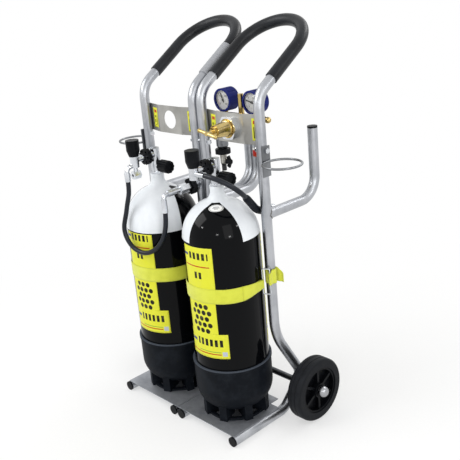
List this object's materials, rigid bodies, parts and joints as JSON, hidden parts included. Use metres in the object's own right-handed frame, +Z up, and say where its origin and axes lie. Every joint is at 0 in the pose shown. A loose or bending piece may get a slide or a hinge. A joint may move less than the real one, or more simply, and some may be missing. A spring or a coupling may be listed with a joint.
{
  "type": "gas cylinder trolley",
  "caption": "Two-wheeled bent-tube hand trolley with handle loops, hooks and rings, carrying strapped gas cylinders with valves, hoses and a gauge regulator.",
  "frame": {"origin": "middle of the bounding box on the floor plane", "axes": "+X along the axle to the right, +Y from the toe plates to the handles at the back, +Z up"},
  "size_m": [0.6938, 0.4351, 1.0567],
  "materials": {
    "stainless_tube": "satin drawn tube",
    "stainless_sheet": "brushed sheet",
    "bright_steel": "bright plated",
    "grip_rubber": "soft matt",
    "black_plastic": "fine grain",
    "tyre": "solid rubber",
    "bush": "plain nylon",
    "cylinder_paint": "gloss paint with a two-colour shoulder",
    "boot": "moulded, matt",
    "webbing": "woven, lime yellow",
    "hose": "smooth, matt",
    "brass": "machined",
    "gauge_boot": "moulded, blue",
    "dial": "white with a printed scale",
    "lens": "clear",
    "pointer": "matt black",
    "grey_metal": "satin"
  },
  "bodies": {
    "frame": {"left_hoop": "stainless_tube", "right_hoop": "stainless_tube", "left_hook_arms": "stainless_tube", "right_hook_arms": "stainless_tube", "axle_lugs": "stainless_tube", "axle_spacers": "stainless_tube", "axle": "stainless_tube", "left_toe_plate": "stainless_sheet", "right_toe_plate": "stainless_sheet", "left_panel": "stainless_sheet", "right_panel": "stainless_sheet", "left_ring_holder": "stainless_sheet", "right_ring_holder": "stainless_sheet", "frame_bolts": "bright_steel", "axle_dome_nuts": "bright_steel", "strap_buckles": "bright_steel", "left_valve": "bright_steel", "right_valve": "bright_steel", "left_connector": "bright_steel", "right_connector": "bright_steel", "parked_connector": "bright_steel", "parking_fittings": "bright_steel", "right_hose_end": "bright_steel", "regulator_ring_nut": "bright_steel", "bleed_body": "bright_steel", "left_grip": "grip_rubber", "right_grip": "grip_rubber", "tube_end_plugs": "black_plastic", "left_cylinder": "cylinder_paint", "right_cylinder": "cylinder_paint", "left_boot": "boot", "right_boot": "boot", "left_strap": "webbing", "right_strap": "webbing", "left_hose": "hose", "right_hose": "hose", "regulator_body": "brass", "regulator_bonnet": "brass", "gauge_boots": "gauge_boot", "gauge_dials": "dial", "gauge_lenses": "lens", "inlet_coupling": "grey_metal"},
    "left_wheel": {"left_tyre": "tyre", "left_rim": "black_plastic", "left_hub_bush": "bush"},
    "right_wheel": {"right_tyre": "tyre", "right_rim": "black_plastic", "right_hub_bush": "bush"},
    "left_valve_handwheel": {"left_valve_knob": "black_plastic"},
    "left_connector_handwheel": {"left_connector_wheel": "black_plastic"},
    "left_shutoff": {"left_shutoff_knob": "black_plastic"},
    "right_valve_handwheel": {"right_valve_knob": "black_plastic"},
    "right_connector_handwheel": {"right_connector_wheel": "black_plastic"},
    "right_shutoff": {"right_shutoff_knob": "black_plastic"},
    "parked_handwheel": {"parked_wheel": "black_plastic"},
    "pressure_screw": {"tee_screw": "brass"},
    "high_needle": {"high_pointer": "pointer"},
    "low_needle": {"low_pointer": "pointer"},
    "inlet_handwheel": {"inlet_wheel": "black_plastic"},
    "bleed_wing": {"wing_knob": "black_plastic"}
  },
  "joints": [
    {"name": "left_wheel_spin", "type": "hinge", "parent": "frame", "child": "left_wheel", "pos_m": [-0.3005, 0.02898, 0.088], "axis": [1, 0, 0], "continuous": true},
    {"name": "right_wheel_spin", "type": "hinge", "parent": "frame", "child": "right_wheel", "pos_m": [0.3005, 0.02898, 0.088], "axis": [1, 0, 0], "continuous": true},
    {"name": "left_valve_turn", "type": "hinge", "parent": "frame", "child": "left_valve_handwheel", "pos_m": [-0.0805, -0.09549, 0.69], "axis": [1, 0, 0], "range_deg": [0, 900]},
    {"name": "left_connector_turn", "type": "hinge", "parent": "frame", "child": "left_connector_handwheel", "pos_m": [-0.1205, -0.12589, 0.72], "axis": [0, -1, 0], "range_deg": [0, 1800]},
    {"name": "left_shutoff_turn", "type": "hinge", "parent": "frame", "child": "left_shutoff", "pos_m": [-0.1205, -0.16549, 0.751], "axis": [0, 0, 1], "range_deg": [0, 360]},
    {"name": "right_valve_turn", "type": "hinge", "parent": "frame", "child": "right_valve_handwheel", "pos_m": [0.1605, -0.09549, 0.69], "axis": [1, 0, 0], "range_deg": [0, 900]},
    {"name": "right_connector_turn", "type": "hinge", "parent": "frame", "child": "right_connector_handwheel", "pos_m": [0.1205, -0.12589, 0.72], "axis": [0, -1, 0], "range_deg": [0, 1800]},
    {"name": "right_shutoff_turn", "type": "hinge", "parent": "frame", "child": "right_shutoff", "pos_m": [0.1205, -0.16549, 0.751], "axis": [0, 0, 1], "range_deg": [0, 360]},
    {"name": "parked_connector_turn", "type": "hinge", "parent": "frame", "child": "parked_handwheel", "pos_m": [-0.0165, -0.06589, 0.637], "axis": [0, -1, 0], "range_deg": [0, 1800]},
    {"name": "pressure_screw_turn", "type": "hinge", "parent": "frame", "child": "pressure_screw", "pos_m": [0.1205, -0.09149, 0.802], "axis": [0, 1, 0], "range_deg": [0, 2160]},
    {"name": "high_gauge_needle", "type": "hinge", "parent": "frame", "child": "high_needle", "pos_m": [0.0685, -0.00109, 0.863], "axis": [0, 1, 0], "range_deg": [-115, 155], "stiffness_Nm_per_rad": 0.002},
    {"name": "low_gauge_needle", "type": "hinge", "parent": "frame", "child": "low_needle", "pos_m": [0.1725, -0.00109, 0.863], "axis": [0, 1, 0], "range_deg": [-60, 210], "stiffness_Nm_per_rad": 0.002},
    {"name": "inlet_turn", "type": "hinge", "parent": "frame", "child": "inlet_handwheel", "pos_m": [0.046, 0.00451, 0.725], "axis": [0, 0, -1], "range_deg": [0, 1800]},
    {"name": "bleed_turn", "type": "hinge", "parent": "frame", "child": "bleed_wing", "pos_m": [0.066, 0.00451, 0.6982], "axis": [1, 0, 0], "range_deg": [0, 720]}
  ]
}
